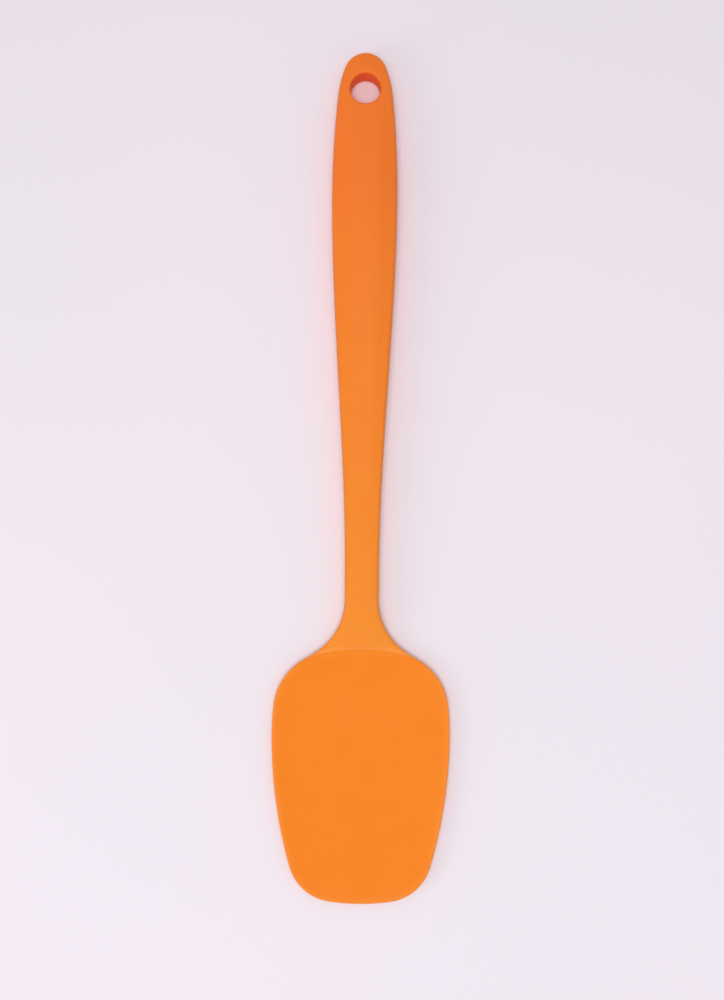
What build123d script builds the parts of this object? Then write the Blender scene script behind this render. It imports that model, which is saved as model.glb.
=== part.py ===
from build123d import *
import os
from math import cos, radians, sin, sqrt

# Silicone spatula lying on its back: +X across, +Y towards the hanging end, +Z up out of the
# dished face. The origin is under the middle of the tool, on the surface that it lies on.
# A station is a distance in millimetres from the hanging end towards the tip.

# Whole tool
overall_length = 280.0

# Handle, seen from above
grip_width = 21.5
neck_width = 11.3
neck_straight = 9.0
flare_radius = 21.0
flare_angle = 58.6
end_radius_share = 0.67
end_shoulder_radius_share = 3.4
end_cap_angle = 21.5
end_shoulder_angle = 6.0

# Handle, seen from the side
end_thickness = 8.6
grip_thickness = 11.6
neck_thickness = 8.2
neck_lift = 0.7
underside_flat_depth = 0.6
nose_round_share = 0.4
section_squareness_share = 0.85
fan_ease_share = 0.4

# Hanging hole
hole_radius = 4.9
hole_place = 12.6
hole_rim_round = 0.6

# Blade
blade_length = 84.2
blade_width = 58.8
blade_thickness = 3.2
lip_thickness = 1.4
lip_bevel = 0.35
dish_depth = 0.8
fan_step = 0.35
shoulder_radius = 19.5
shoulder_ease_radius = 92.0
shoulder_ease_angle = 6.3
crease_angle = 75.0
corner_radius = 16.0
side_angle = 16.1
corner_angle = 82.0
lip_band_share = 0.62
dish_wall_draft = 0.3

# Handle core, a moulded nylon spine
handle_skin = 1.6
spine_hole_gap = 4.0
spine_fan_reach = 9.0
spine_lock_radius = 1.6
spine_lock_shares = (0.12, 0.36, 0.60, 0.84)

# Blade core, a thin spring steel plate with a joggled tang
plate_thickness = 0.6
plate_margin_share = 0.6
tang_width = 5.2
tang_grip_length = 44.0
tang_lead = 3.0
tang_bend_radius = 8.0
tang_bend_share = 0.5
tang_height_share = 0.4
tang_root_radius = 5.0
plate_lock_radius = 2.4
plate_lock_shares = ((-0.20, 0.25), (0.20, 0.25), (0.0, 0.48), (-0.16, 0.72), (0.16, 0.72))
tang_lock_radius = 1.2
tang_lock_shares = (0.25, 0.70)

# Tongue of the fan that ends inside the blade
tongue_reach = 7.0
tongue_inset = 3.0
tongue_top_share = 0.8

# Sections that the handle is drawn through
nose_angles = (10, 22, 34, 46, 58, 68)
handle_span_count = 26
fan_span_count = 12
band_span_count = 3

# One overrun for every cut
overrun = 5.0


def sine(angle):
    """Sine of an angle in degrees."""
    return sin(radians(angle))


def cosine(angle):
    """Cosine of an angle in degrees."""
    return cos(radians(angle))


def tip_run(angle):
    """Reach, per unit of half width, of an arc centred on the axis that starts at this heading."""
    return (1 - sine(angle)) / cosine(angle)


# Worked-out sizes of the plan
grip_half = grip_width / 2
neck_half = neck_width / 2
blade_half = blade_width / 2
rim_height = blade_thickness + dish_depth
back_rise = rim_height - lip_thickness
neck_top = neck_lift + neck_thickness
crease_height = rim_height + fan_step
crease_place = overall_length - blade_length
lip_band = lip_band_share * min(corner_radius, shoulder_radius)

# Upper end of the blade: from its widest place up to the crease
ease_drop = shoulder_ease_radius * (1 - cosine(shoulder_ease_angle))
ease_reach = shoulder_ease_radius * sine(shoulder_ease_angle)
upper_drop = ease_drop + shoulder_radius * (cosine(shoulder_ease_angle) - cosine(crease_angle))
upper_reach = (ease_reach + shoulder_radius * (sine(crease_angle) - sine(shoulder_ease_angle))
               + (blade_half - upper_drop) * tip_run(crease_angle))
crease_radius = (blade_half - upper_drop) / cosine(crease_angle)
widest_place = crease_place + upper_reach

# Lower end of the blade: from its widest place down to the tip
lower_reach = blade_length - upper_reach
corner_reach = corner_radius * (sine(corner_angle) - sine(side_angle))
corner_drop = corner_radius * (cosine(side_angle) - cosine(corner_angle))
side_reach = lower_reach - corner_reach - (blade_half - corner_drop) * tip_run(corner_angle)
side_radius = side_reach / (sine(side_angle) - (1 - cosine(side_angle)) * tip_run(corner_angle))
tip_half = blade_half - corner_drop - side_radius * (1 - cosine(side_angle))
tip_radius = tip_half / cosine(corner_angle)

# Flare from the neck to the blade's shoulder, tangent to both
flare_end = widest_place - ease_reach - shoulder_radius * (sine(flare_angle) - sine(shoulder_ease_angle))
flare_half = blade_half - ease_drop - shoulder_radius * (cosine(shoulder_ease_angle) - cosine(flare_angle))
flare_bend = min(flare_radius, (flare_half - neck_half) / (1 - cosine(flare_angle)))
flare_line = ((flare_half - neck_half - flare_bend * (1 - cosine(flare_angle)))
              / sine(flare_angle))
flare_turn = flare_end - flare_line * cosine(flare_angle)
flare_start = flare_turn - flare_bend * sine(flare_angle)
neck_start = flare_start - neck_straight

# Rounded hanging end, tangent arcs from the apex to the widest place of the grip
end_radius = end_radius_share * grip_half
end_shoulder_radius = end_shoulder_radius_share * grip_half
cap_reach = end_radius * (1 - sine(end_cap_angle))
cap_half = end_radius * cosine(end_cap_angle)
shoulder_reach = cap_reach + end_shoulder_radius * (sine(end_cap_angle) - sine(end_shoulder_angle))
shoulder_half = cap_half + end_shoulder_radius * (cosine(end_shoulder_angle) - cosine(end_cap_angle))
grip_side_radius = (grip_half - shoulder_half) / (1 - cosine(end_shoulder_angle))
grip_place = shoulder_reach + grip_side_radius * sine(end_shoulder_angle)
nose_round = nose_round_share * end_thickness

# Stations of the cores
spine_start = hole_place + hole_radius + spine_hole_gap
spine_end = flare_start + spine_fan_reach
tang_start = spine_end - tang_grip_length
plate_inset = plate_margin_share * corner_radius


def y_at(station):
    """Y of a station."""
    return overall_length / 2 - station


def steps(first, last, count):
    """Evenly spaced values, both ends included."""
    return [first + (last - first) * number / count for number in range(count + 1)]


def smooth(share):
    """A share of the way, eased at both ends."""
    share = min(max(share, 0), 1)
    return share * share * (3 - 2 * share)


def eased_ramp(share, ease):
    """A ramp that starts level, bends over the first part and then runs straight."""
    if share < ease:
        return max(share, 0) ** 2 / (ease * (2 - ease))
    return (2 * share - ease) / (2 - ease)


def half_width(station):
    """Half the handle's width at a station, down to where the flare meets the blade."""
    if station < cap_reach:
        return sqrt(end_radius ** 2 - (end_radius - station) ** 2)
    if station < shoulder_reach:
        along = end_shoulder_radius * sine(end_cap_angle) - (station - cap_reach)
        return (cap_half - end_shoulder_radius * cosine(end_cap_angle)
                + sqrt(end_shoulder_radius ** 2 - along ** 2))
    if station < grip_place:
        return grip_half - grip_side_radius + sqrt(grip_side_radius ** 2 - (grip_place - station) ** 2)
    if station < flare_start:
        taper = smooth((station - grip_place) / (neck_start - grip_place))
        return grip_half + (neck_half - grip_half) * taper
    if station < flare_turn:
        return neck_half + flare_bend - sqrt(flare_bend ** 2 - (station - flare_start) ** 2)
    return flare_half - (flare_end - station) * sine(flare_angle) / cosine(flare_angle)


def nose_cut(station):
    """How far the rounded nose falls back from the handle's top and underside."""
    if station >= nose_round:
        return 0
    return nose_round - sqrt(nose_round ** 2 - (nose_round - station) ** 2)


def top_height(station):
    """Height of the handle's crown on the centre line."""
    if station < grip_place:
        level = end_thickness + (grip_thickness - end_thickness) * smooth(station / grip_place)
    elif station < neck_start:
        share = smooth((station - grip_place) / (neck_start - grip_place))
        level = grip_thickness + (neck_top - grip_thickness) * share
    else:
        fall = eased_ramp((station - flare_start) / (crease_place - flare_start), fan_ease_share)
        level = neck_top + (crease_height - neck_top) * fall
    return level - nose_cut(station)


def underside_height(station):
    """Height of the handle's underside on the centre line, before it is cut flat."""
    lift = smooth((station - grip_place) / (neck_start - grip_place))
    return (neck_lift + underside_flat_depth) * lift - underside_flat_depth + nose_cut(station)


def side_height(station):
    """Height of the widest line of the handle, where the mould's halves part."""
    middle = (top_height(min(station, neck_start)) + underside_height(min(station, neck_start))) / 2
    lip_middle = rim_height - lip_thickness / 2
    return middle + (lip_middle - middle) * smooth((station - neck_start) / (flare_end - neck_start))


def rounded_section(station, half, top, side, bottom):
    """A rounded section across the handle, of four curves that meet without a corner."""
    pull = section_squareness_share

    def quarter(x_end, z_start, z_end):
        z_pull = z_end + pull * (z_start - z_end)
        points = [(0, z_start), (pull * x_end, z_start), (x_end, z_pull), (x_end, z_end)]
        return [(x, y_at(station), z) for x, z in points]

    upper_right = Bezier(*quarter(half, top, side))
    lower_right = Bezier(*reversed(quarter(half, bottom, side)))
    lower_left = Bezier(*quarter(-half, bottom, side))
    upper_left = Bezier(*reversed(quarter(-half, top, side)))
    return make_face([upper_right, lower_right, lower_left, upper_left])


def arc_points(centre, radius, start_angle, end_angle):
    """First, middle and last point of an arc, by angles from the tip's direction."""
    angles = (start_angle, (start_angle + end_angle) / 2, end_angle)
    return [(centre[0] + radius * sine(a), centre[1] - radius * cosine(a)) for a in angles]


def blade_outline(inset):
    """The blade's closed outline in plan, moved inwards by an inset."""
    tip_centre = (0, y_at(overall_length - tip_radius))
    turn = 90 - corner_angle
    corner_centre = (tip_centre[0] + (tip_radius - corner_radius) * sine(turn),
                     tip_centre[1] - (tip_radius - corner_radius) * cosine(turn))
    widest_y = y_at(widest_place)
    side_centre = (blade_half - side_radius, widest_y)
    ease_centre = (blade_half - shoulder_ease_radius, widest_y)
    ease_turn = 90 + shoulder_ease_angle
    gap = shoulder_ease_radius - shoulder_radius
    shoulder_centre = (ease_centre[0] + gap * sine(ease_turn),
                       ease_centre[1] - gap * cosine(ease_turn))
    crease_centre = (0, y_at(crease_place + crease_radius))
    arcs = [arc_points(tip_centre, tip_radius - inset, 0, turn),
            arc_points(corner_centre, corner_radius - inset, turn, 90 - side_angle),
            arc_points(side_centre, side_radius - inset, 90 - side_angle, 90),
            arc_points(ease_centre, shoulder_ease_radius - inset, 90, ease_turn),
            arc_points(shoulder_centre, shoulder_radius - inset, ease_turn, 90 + crease_angle),
            arc_points(crease_centre, crease_radius - inset, 90 + crease_angle, 180)]
    return arcs


def blade_face(inset, height):
    """The blade's outline as a level face at a height."""
    arcs = blade_outline(inset)
    edges = []
    for side in (1, -1):
        for arc in arcs:
            points = [(side * x, y, height) for x, y in arc]
            edges.append(ThreePointArc(*points))
    return make_face(edges)


def curled_solid(low, high, edge_inset):
    """A form that is flat in the middle and curls up within the lip's band, filled up to its edge."""
    faces = []
    for share in steps(0, 1, band_span_count):
        inset = lip_band + (edge_inset - lip_band) * share
        faces.append(blade_face(inset, low + (high - low) * share ** 2))
    return loft(faces)


def curled_dish(floor, edge):
    """The space above the dished face, open upwards, with a short wall at the crease."""
    bowl = curled_solid(floor, edge, 0)
    wall = loft([blade_face(0, edge), blade_face(-dish_wall_draft, edge + overrun)], ruled=True)
    return bowl + wall


def blade_blank():
    """The blade's solid outer form before it is dished: flat back, curled band, bevelled lip."""
    back = curled_solid(0, back_rise, lip_bevel)
    levels = [(lip_bevel, back_rise), (0, back_rise + lip_bevel),
              (0, rim_height - lip_bevel), (lip_bevel, rim_height)]
    lip = loft([blade_face(inset, height) for inset, height in levels], ruled=True)
    return back + lip


def blade_half_width(station):
    """Half the blade's width at a station between the flare's end and the widest place."""
    along = widest_place - station
    if along < ease_reach:
        return blade_half - shoulder_ease_radius + sqrt(shoulder_ease_radius ** 2 - along ** 2)
    along = along - ease_reach + shoulder_radius * sine(shoulder_ease_angle)
    return (blade_half - ease_drop - shoulder_radius * cosine(shoulder_ease_angle)
            + sqrt(shoulder_radius ** 2 - along ** 2))


def handle_section(station):
    """The handle's section at a station; past the flare it narrows into the blade as a tongue."""
    half = half_width(station)
    top = top_height(station)
    bottom = underside_height(station)
    side = side_height(station)
    if station > flare_end:
        sunk = (station - flare_end) / tongue_reach
        half = blade_half_width(station) - tongue_inset * sunk
        top = max(top, blade_thickness * tongue_top_share)
        side = side + ((top + bottom) / 2 - side) * sunk
    return rounded_section(station, half, top, side, bottom)


def handle_blank():
    """The handle and its fan as one rounded form, with a tongue that ends inside the blade."""
    nose = [end_radius * (1 - cosine(angle)) for angle in nose_angles]
    nose = [station for station in nose if station < cap_reach]
    flat = rounded_section(0, half_width(nose[0]), top_height(nose[0]),
                           side_height(nose[0]), underside_height(nose[0]))
    end = [flat] + [handle_section(station) for station in nose[1:] + [cap_reach]]
    grip = [handle_section(station) for station in steps(cap_reach, flare_start, handle_span_count)]
    fan = [handle_section(station)
           for station in steps(flare_start, flare_end + tongue_reach, fan_span_count)]
    return loft(end, ruled=True) + loft(grip) + loft(fan)


def hanging_hole():
    """The hole's cutter, flared at the flat underside."""
    bore = Pos(0, y_at(hole_place), 0) * Cylinder(hole_radius, 2 * grip_thickness)
    low = (hole_radius + hole_rim_round, 0)
    high = (hole_radius, hole_rim_round)
    flank = RadiusArc(low, high, hole_rim_round)
    sides = Polyline(high, (0, hole_rim_round), (0, -overrun), (low[0], -overrun), low)
    flare = revolve(Plane.XZ * make_face([flank, sides]), Axis.Z)
    return bore + Pos(0, y_at(hole_place), 0) * flare


def outer_form():
    """The silicone's outside: handle, fan and dished blade, cut flat underneath, with its hole."""
    form = blade_blank() + handle_blank() - curled_dish(blade_thickness, rim_height)
    table = Box(blade_width + overrun, overall_length + overrun, overrun,
                align=(Align.CENTER, Align.CENTER, Align.MAX))
    form = form - table - hanging_hole()
    rim = [edge for edge in form.edges() if edge.center().Z > end_thickness / 2
           and abs(edge.center().Y - y_at(hole_place)) < hole_radius
           and abs(edge.center().X) < hole_radius and edge.geom_type != GeomType.LINE]
    return fillet(rim, hole_rim_round)


def spine_blank():
    """The nylon spine's outside, the handle's own sections drawn in by the skin."""
    faces = []
    for station in steps(spine_start, spine_end, handle_span_count):
        faces.append(rounded_section(station, half_width(station) - handle_skin,
                                     top_height(station) - handle_skin, side_height(station),
                                     max(underside_height(station), 0) + handle_skin))
    spine = loft(faces)
    for share in spine_lock_shares:
        place = spine_start + (tang_start - spine_start) * share
        spine -= Pos(0, y_at(place), 0) * Cylinder(spine_lock_radius, 2 * grip_thickness)
    return spine


def plate_plan():
    """The steel plate seen from above: the blade's outline drawn in, with a narrow tang."""
    shield = blade_face(plate_inset, 0)
    tang_length = crease_place + plate_inset + tang_width - tang_start
    tang = Pos(0, y_at(tang_start)) * Rectangle(tang_width, tang_length, align=(Align.CENTER, Align.MAX))
    plan = shield + tang
    root_y = y_at(crease_place + plate_inset)
    roots = [vertex for vertex in plan.vertices() if abs(vertex.Y - root_y) < tang_width / 2
             and abs(vertex.X) < tang_width]
    return fillet(roots, tang_root_radius)


def plate_core():
    """The steel plate in the middle of the blade, with a tang that steps up into the spine."""
    low = blade_thickness / 2
    high = neck_lift + handle_skin + (neck_thickness - 2 * handle_skin) * tang_height_share
    route = [(y_at(overall_length), low), (y_at(crease_place + plate_inset * tang_bend_share), low),
             (y_at(spine_end + tang_lead), high), (y_at(tang_start), high)]
    profile = trace(FilletPolyline(*route, radius=tang_bend_radius), plate_thickness)
    strip = extrude(Plane.YZ * profile, blade_half, both=True)
    plate = strip & extrude(plate_plan(), grip_thickness)
    plate_span = blade_length - 2 * plate_inset
    for across, along in plate_lock_shares:
        place = crease_place + plate_inset + plate_span * along
        plate -= Pos(blade_width * across, y_at(place), 0) * Cylinder(plate_lock_radius, grip_thickness)
    for share in tang_lock_shares:
        place = tang_start + tang_grip_length * share
        plate -= Pos(0, y_at(place), 0) * Cylinder(tang_lock_radius, 2 * grip_thickness)
    return plate


os.makedirs("parts", exist_ok=True)
spine = spine_blank()
plate = plate_core()
nodes = {
    "silicone_body": outer_form() - spine - plate,
    "handle_spine": spine - plate,
    "blade_plate": plate,
}
for name, shape in nodes.items():
    export_step(shape, "parts/" + name + ".step")
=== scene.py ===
from math import atan2, cos, pi, radians, sin, sqrt

import bmesh
import bpy
from bpy.props import FloatProperty, FloatVectorProperty, IntProperty, PointerProperty
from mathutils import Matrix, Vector


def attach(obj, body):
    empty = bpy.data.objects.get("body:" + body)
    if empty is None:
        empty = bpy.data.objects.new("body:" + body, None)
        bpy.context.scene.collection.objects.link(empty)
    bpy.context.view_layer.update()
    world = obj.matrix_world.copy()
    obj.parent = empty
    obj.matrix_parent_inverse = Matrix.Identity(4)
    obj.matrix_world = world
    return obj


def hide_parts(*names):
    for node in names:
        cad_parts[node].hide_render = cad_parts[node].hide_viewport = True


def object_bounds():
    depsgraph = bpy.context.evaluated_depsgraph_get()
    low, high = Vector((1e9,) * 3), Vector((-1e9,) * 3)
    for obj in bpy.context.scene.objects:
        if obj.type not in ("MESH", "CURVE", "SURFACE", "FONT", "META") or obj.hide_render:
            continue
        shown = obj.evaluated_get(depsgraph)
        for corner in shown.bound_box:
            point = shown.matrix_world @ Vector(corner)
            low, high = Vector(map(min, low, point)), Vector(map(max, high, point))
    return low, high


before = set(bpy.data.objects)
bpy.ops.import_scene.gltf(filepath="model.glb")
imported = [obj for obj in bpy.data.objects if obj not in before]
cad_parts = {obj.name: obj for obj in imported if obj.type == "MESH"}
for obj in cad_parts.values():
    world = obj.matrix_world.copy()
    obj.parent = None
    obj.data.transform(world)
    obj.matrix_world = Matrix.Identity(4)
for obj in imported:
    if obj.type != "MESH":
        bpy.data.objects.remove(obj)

bl_info = {
    "name": "Silicone spatula",
    "version": (1, 0, 0),
    "blender": (4, 5, 0),
    "location": "3D View > Sidebar > Spatula",
    "description": "Builds a seamless silicone spatula, its two hidden cores and a plain stage",
    "category": "Object",
}

# A station is a distance from the hanging end towards the tip of the blade. An across share is 0
# on the centre line and 1 at the side. A level is 0 on the underside and 1 on the top face.
MM = 0.001
CAD_LOW, CAD_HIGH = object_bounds()
SKIN_NODE = "silicone_body"
SPINE_NODE = "handle_spine"
PLATE_NODE = "blade_plate"
# Vertex layer of painted light and shade: above 0 a painted highlight, sheen and glow, below 0
# painted shade in the hole
PAINTED_LIGHT_AND_SHADE = "tone"
LEVEL_SLACK = 0.01
# Ranges that most values of a noise texture lie in
MIDDLE_NOISE = (0.35, 0.65)
WIDE_NOISE = (0.3, 0.7)
# Numbers of a colour mix node's sockets, and the layout of shader nodes
MIX_FIRST, MIX_SECOND, MIX_RESULT = 6, 7, 2
NODE_STEP = 220
NODES_A_ROW = 6


def length(name, description, millimetres):
    """A length property, given in millimetres."""
    return FloatProperty(name=name, description=description, default=millimetres * MM, min=0.0,
                         precision=5, unit="LENGTH")


def offset(name, description, millimetres):
    """A distance from the origin along one axis, given in millimetres."""
    return FloatProperty(name=name, description=description, default=millimetres * MM,
                         precision=5, unit="LENGTH")


def position(name, description, millimetres):
    """A place in space, given in millimetres."""
    return FloatVectorProperty(name=name, description=description, size=3, unit="LENGTH",
                               default=tuple(part * MM for part in millimetres),
                               subtype="TRANSLATION")


def angle(name, description, value):
    """An angle property, given in degrees."""
    return FloatProperty(name=name, description=description, default=radians(value),
                         subtype="ANGLE")


def share(name, description, value):
    """A property between 0 and 1."""
    return FloatProperty(name=name, description=description, default=value, min=0.0, max=1.0,
                         subtype="FACTOR")


def amount(name, description, value, unit="NONE"):
    """A positive property."""
    return FloatProperty(name=name, description=description, default=value, min=0.0, unit=unit)


def colour(name, description, value):
    """A colour property, in linear values."""
    return FloatVectorProperty(name=name, description=description, default=value, size=3,
                               min=0.0, max=1.0, subtype="COLOR")


class SpatulaShape(bpy.types.PropertyGroup):
    """Sizes of the silicone body, as the real tool has them."""

    overall_length: FloatProperty(name="Overall length", description="Hanging end to tip",
                                  default=CAD_HIGH.y - CAD_LOW.y, precision=5, unit="LENGTH")
    blade_width: FloatProperty(name="Blade width", description="Widest place of the blade",
                               default=CAD_HIGH.x - CAD_LOW.x, precision=5, unit="LENGTH")
    grip_thickness: FloatProperty(name="Grip thickness", description="Crown of the grip",
                                  default=CAD_HIGH.z - CAD_LOW.z, precision=5, unit="LENGTH")
    grip_width: length("Grip width", "Widest place of the grip", 21.5)
    neck_width: length("Neck width", "Narrowest place of the neck", 11.3)
    neck_straight: length("Neck straight", "Straight stretch of the neck", 9.0)
    flare_radius: length("Flare radius", "Hollow curve from the neck into the fan", 21.0)
    flare_angle: angle("Flare angle", "Turn of the flare before it runs straight", 58.6)
    end_cap_angle: angle("End cap angle", "Heading where the round cap ends", 21.5)
    end_shoulder_angle: angle("End shoulder angle", "Heading where the end's shoulder ends", 6.0)
    end_thickness: length("End thickness", "Thickness at the hanging end", 8.6)
    neck_thickness: length("Neck thickness", "Thickness of the neck", 8.2)
    neck_lift: length("Neck lift", "Clearance under the neck", 0.7)
    underside_flat_depth: length("Flat depth", "Depth cut from the round underside", 0.6)
    hole_radius: length("Hole radius", "Hanging hole, halfway down", 4.9)
    hole_place: length("Hole place", "Hanging end to the hole's centre", 12.6)
    hole_rim_round: length("Hole rim", "Rounding of the hole's mouths", 0.6)
    hole_draft: length("Hole draft", "How much wider the hole's radius is at its top", 0.25)
    blade_length: length("Blade length", "Crease to tip", 84.2)
    blade_thickness: length("Blade thickness", "Thickness in the middle of the blade", 3.2)
    lip_thickness: length("Lip thickness", "Thickness at the blade's edge", 1.4)
    lip_round: length("Lip round", "Depth of the lip's rounding, seen from above", 0.5)
    dish_depth: length("Dish depth", "How far the blade's edge curls up", 0.8)
    fan_step: length("Fan step", "Drop from the fan's edge onto the blade", 0.35)
    shoulder_radius: length("Shoulder radius", "Shoulders of the blade", 19.5)
    shoulder_ease_radius: length("Shoulder ease", "Slow curve below the shoulders", 92.0)
    shoulder_ease_angle: angle("Shoulder ease angle", "Turn of the slow curve", 6.3)
    crease_angle: angle("Crease angle", "Turn from the sides to the crease's arc", 75.0)
    corner_radius: length("Corner radius", "Corners at the tip", 16.0)
    side_angle: angle("Side angle", "Slant of the lower sides", 16.1)
    corner_angle: angle("Corner angle", "Turn where the corner meets the tip's arc", 82.0)


class SpatulaMesh(bpy.types.PropertyGroup):
    """How finely the silicone body is divided."""

    columns: IntProperty(name="Columns", description="Faces across each side of the tool",
                         default=44, min=16, max=96)
    lip_rows: IntProperty(name="Lip rows", description="Faces round the edge", default=8, min=4,
                          max=16)
    smooth_levels: IntProperty(name="Smooth levels", description="Subdivision surface levels",
                               default=1, min=0, max=2)


class SiliconeFinish(bpy.types.PropertyGroup):
    """Colours and surface of the orange silicone."""

    blade_orange: colour("Blade orange", "Thin silicone, warmed by the table below",
                         (0.92, 0.238, 0.009))
    # The neck's paler orange is partly the silicone's own tone and partly painted sheen on the
    # neck and fan.
    neck_orange_and_sheen: colour("Neck orange", "Silicone of the neck and fan", (0.90, 0.268, 0.016))
    # The grip's darker, redder orange is partly the silicone's own tone and partly painted shade
    # where the light falls off towards the hanging end.
    grip_orange_and_shade: colour("Grip orange", "Thick silicone of the grip", (0.875, 0.194, 0.024))
    blade_from: offset("Blade from", "Y where the blade's orange is full", -60.0)
    neck_at: offset("Neck at", "Y where the neck's orange is full", -50.0)
    grip_from: offset("Grip from", "Y where the grip's orange is full", 110.0)
    # Painted light: a painted highlight on the fan's rim, painted sheen on the fan and a painted
    # glow at the thin lip
    painted_light_orange: colour("Pale orange", "Thin silicone at the fan's rim and the lip",
                        (0.96, 0.36, 0.08))
    painted_light_strength: share("Pale strength", "How far thin silicone turns pale", 0.7)
    # Painted shade on the wall of the hanging hole
    hole_shade_orange: colour("Deep orange", "Wall of the hanging hole", (0.95, 0.14, 0.001))
    hole_shade_strength: share("Deep strength", "How far the hole's wall turns deep", 0.85)
    light_pigment: colour("Light pigment", "Broad drift of the pigment", (1.0, 0.36, 0.05))
    dark_pigment: colour("Dark pigment", "Fine drift of the pigment", (0.7, 0.12, 0.0))
    drift: share("Drift", "How far the pigment varies", 0.06)
    roughness_low: share("Roughness, low", "Smoothest patches of the satin surface", 0.47)
    roughness_high: share("Roughness, high", "Roughest patches of the satin surface", 0.54)
    shine: share("Shine", "Specular level of silicone", 0.15)
    refraction: amount("Refraction", "Index of refraction of silicone", 1.41)
    glow: share("Glow", "Share of the light that wanders inside the silicone", 0.12)
    glow_tint: colour("Glow tint", "How far each colour wanders", (1.0, 0.35, 0.12))
    glow_depth: length("Glow depth", "How far light wanders inside the silicone", 1.2)
    grain: length("Grain", "Height of the mould's fine texture", 0.006)
    grain_strength: share("Grain strength", "How strongly the fine texture shows", 0.35)
    swell: length("Swell", "Height of the surface's broad unevenness", 0.05)
    swell_strength: share("Swell strength", "How strongly the unevenness shows", 0.25)


class CoreFinish(bpy.types.PropertyGroup):
    """Colours of the two cores inside the silicone."""

    nylon: colour("Nylon", "Natural glass-filled nylon", (0.62, 0.58, 0.48))
    fleck: amount("Fleck", "Brightness of the glass fibres against the nylon", 1.22)
    nylon_roughness_low: share("Nylon roughness, low", "Smoothest nylon", 0.52)
    nylon_roughness_high: share("Nylon roughness, high", "Roughest nylon", 0.64)
    nylon_grain: length("Nylon grain", "Height of the fibres' texture", 0.01)
    nylon_grain_strength: share("Nylon grain strength", "How strongly the fibres show", 0.4)
    steel: colour("Steel", "Cold-rolled spring steel", (0.56, 0.56, 0.55))
    rolling_line: share("Rolling line", "Brightness of a rolling line against the steel", 0.82)
    steel_roughness_low: share("Steel roughness, low", "Smoothest steel", 0.26)
    steel_roughness_high: share("Steel roughness, high", "Roughest steel", 0.38)
    steel_grain: length("Steel grain", "Depth of the rolling lines", 0.004)
    steel_grain_strength: share("Steel grain strength", "How strongly the lines show", 0.3)


class StageSettings(bpy.types.PropertyGroup):
    """Camera, lamps and floor."""

    camera_height: length("Camera height", "Lens above the floor", 440.0)
    sensor_width: amount("Sensor width", "Width of the camera's sensor, in millimetres", 36.0)
    view_height: length("View height", "What the picture's height covers", 332.3)
    lean: angle("Lean", "How far the tool leans in the picture", 0.44)
    centre_station: length("Centre station", "Station in the middle of the picture", 146.78)
    slide: offset("Slide", "Camera's place across the tool", -0.15)
    floor_radius: length("Floor radius", "How far the floor reaches", 8000.0)
    floor_gap: length("Floor gap", "Drop from the tool to the floor", 0.05)
    floor_colour: colour("Floor", "Pale table top", (0.89, 0.83, 0.875))
    floor_cool: colour("Cool floor", "Cooler patches of the table top",
                       (0.86775, 0.8217, 0.861875))
    # Painted shade: the table darkens towards and beyond the hanging end, where the lamps' light
    # falls off
    floor_painted_falloff: share("Floor fade", "How far the table darkens beyond the hanging end", 0.07)
    painted_falloff_start: offset("Fade start", "Y where the table starts to darken", -150.0)
    painted_falloff_end: offset("Fade end", "Y where the table is darkest", 180.0)
    floor_roughness: share("Floor roughness", "Matt table top", 0.85)
    floor_shine: share("Floor shine", "Specular level of the table top", 0.2)
    room_colour: colour("Room", "Light from all sides", (0.95, 0.93, 1.0))
    room_strength: amount("Room strength", "Strength of the light from all sides", 0.54)
    lamp_target: position("Lamp target", "What both lamps look at", (0.0, -20.0, 0.0))
    window_place: position("Window place", "Low lamp at the left", (-850.0, -400.0, 450.0))
    window_size: length("Window size", "Side of the low lamp", 500.0)
    window_power: amount("Window power", "Power of the low lamp", 1.5, "POWER")
    window_tint: colour("Window tint", "Colour of the low lamp", (1.0, 0.97, 0.98))
    softbox_place: position("Softbox place", "Large lamp overhead", (-50.0, -100.0, 1250.0))
    softbox_size: length("Softbox size", "Side of the large lamp", 600.0)
    softbox_power: amount("Softbox power", "Power of the large lamp", 7.55, "POWER")
    softbox_tint: colour("Softbox tint", "Colour of the large lamp", (1.0, 0.98, 0.99))


def smooth(value):
    """A share of the way, eased at both ends."""
    value = min(max(value, 0.0), 1.0)
    return value * value * (3 - 2 * value)


def eased(value, first, last):
    """A share of the way from the first value to the last, eased at both ends."""
    return smooth((value - first) / (last - first))


def fading(value, reach):
    """1 at zero, falling evenly to 0 at a reach."""
    return max(1 - value / reach, 0.0)


def blend(first, second, part):
    """From the first value to the second."""
    return first + (second - first) * part


def steps(first, last, count):
    """Evenly spaced values, both ends included."""
    return [first + (last - first) * number / count for number in range(count + 1)]


def tip_run(heading):
    """Reach, per unit of half width, of an arc centred on the axis that starts at a heading."""
    return (1 - sin(heading)) / cos(heading)


class Arc:
    """An arc of the outline: headings run from the tip's direction round to the handle's."""

    def __init__(self, across, station, radius, first, last):
        self.across = across
        self.station = station
        self.radius = radius
        self.first = first
        self.last = last

    def depth(self, across, station):
        """How far inside the arc a point lies, or None if the arc isn't what it faces."""
        heading = atan2(across - self.across, station - self.station)
        if self.first <= heading <= self.last:
            return self.radius - sqrt((across - self.across) ** 2 + (station - self.station) ** 2)
        return None

    def half_at(self, station):
        """The arc's distance from the centre line at a station."""
        return self.across + sqrt(max(self.radius ** 2 - (station - self.station) ** 2, 0.0))

    def station_at(self, across, way):
        """The arc's station at a distance from the centre line, on the tip's or handle's side."""
        return self.station + way * sqrt(max(self.radius ** 2 - (across - self.across) ** 2, 0.0))

    def inward(self, across, station):
        """The direction from a point of the arc to its centre."""
        reach = sqrt((across - self.across) ** 2 + (station - self.station) ** 2)
        return (self.across - across) / reach, (self.station - station) / reach


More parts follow.
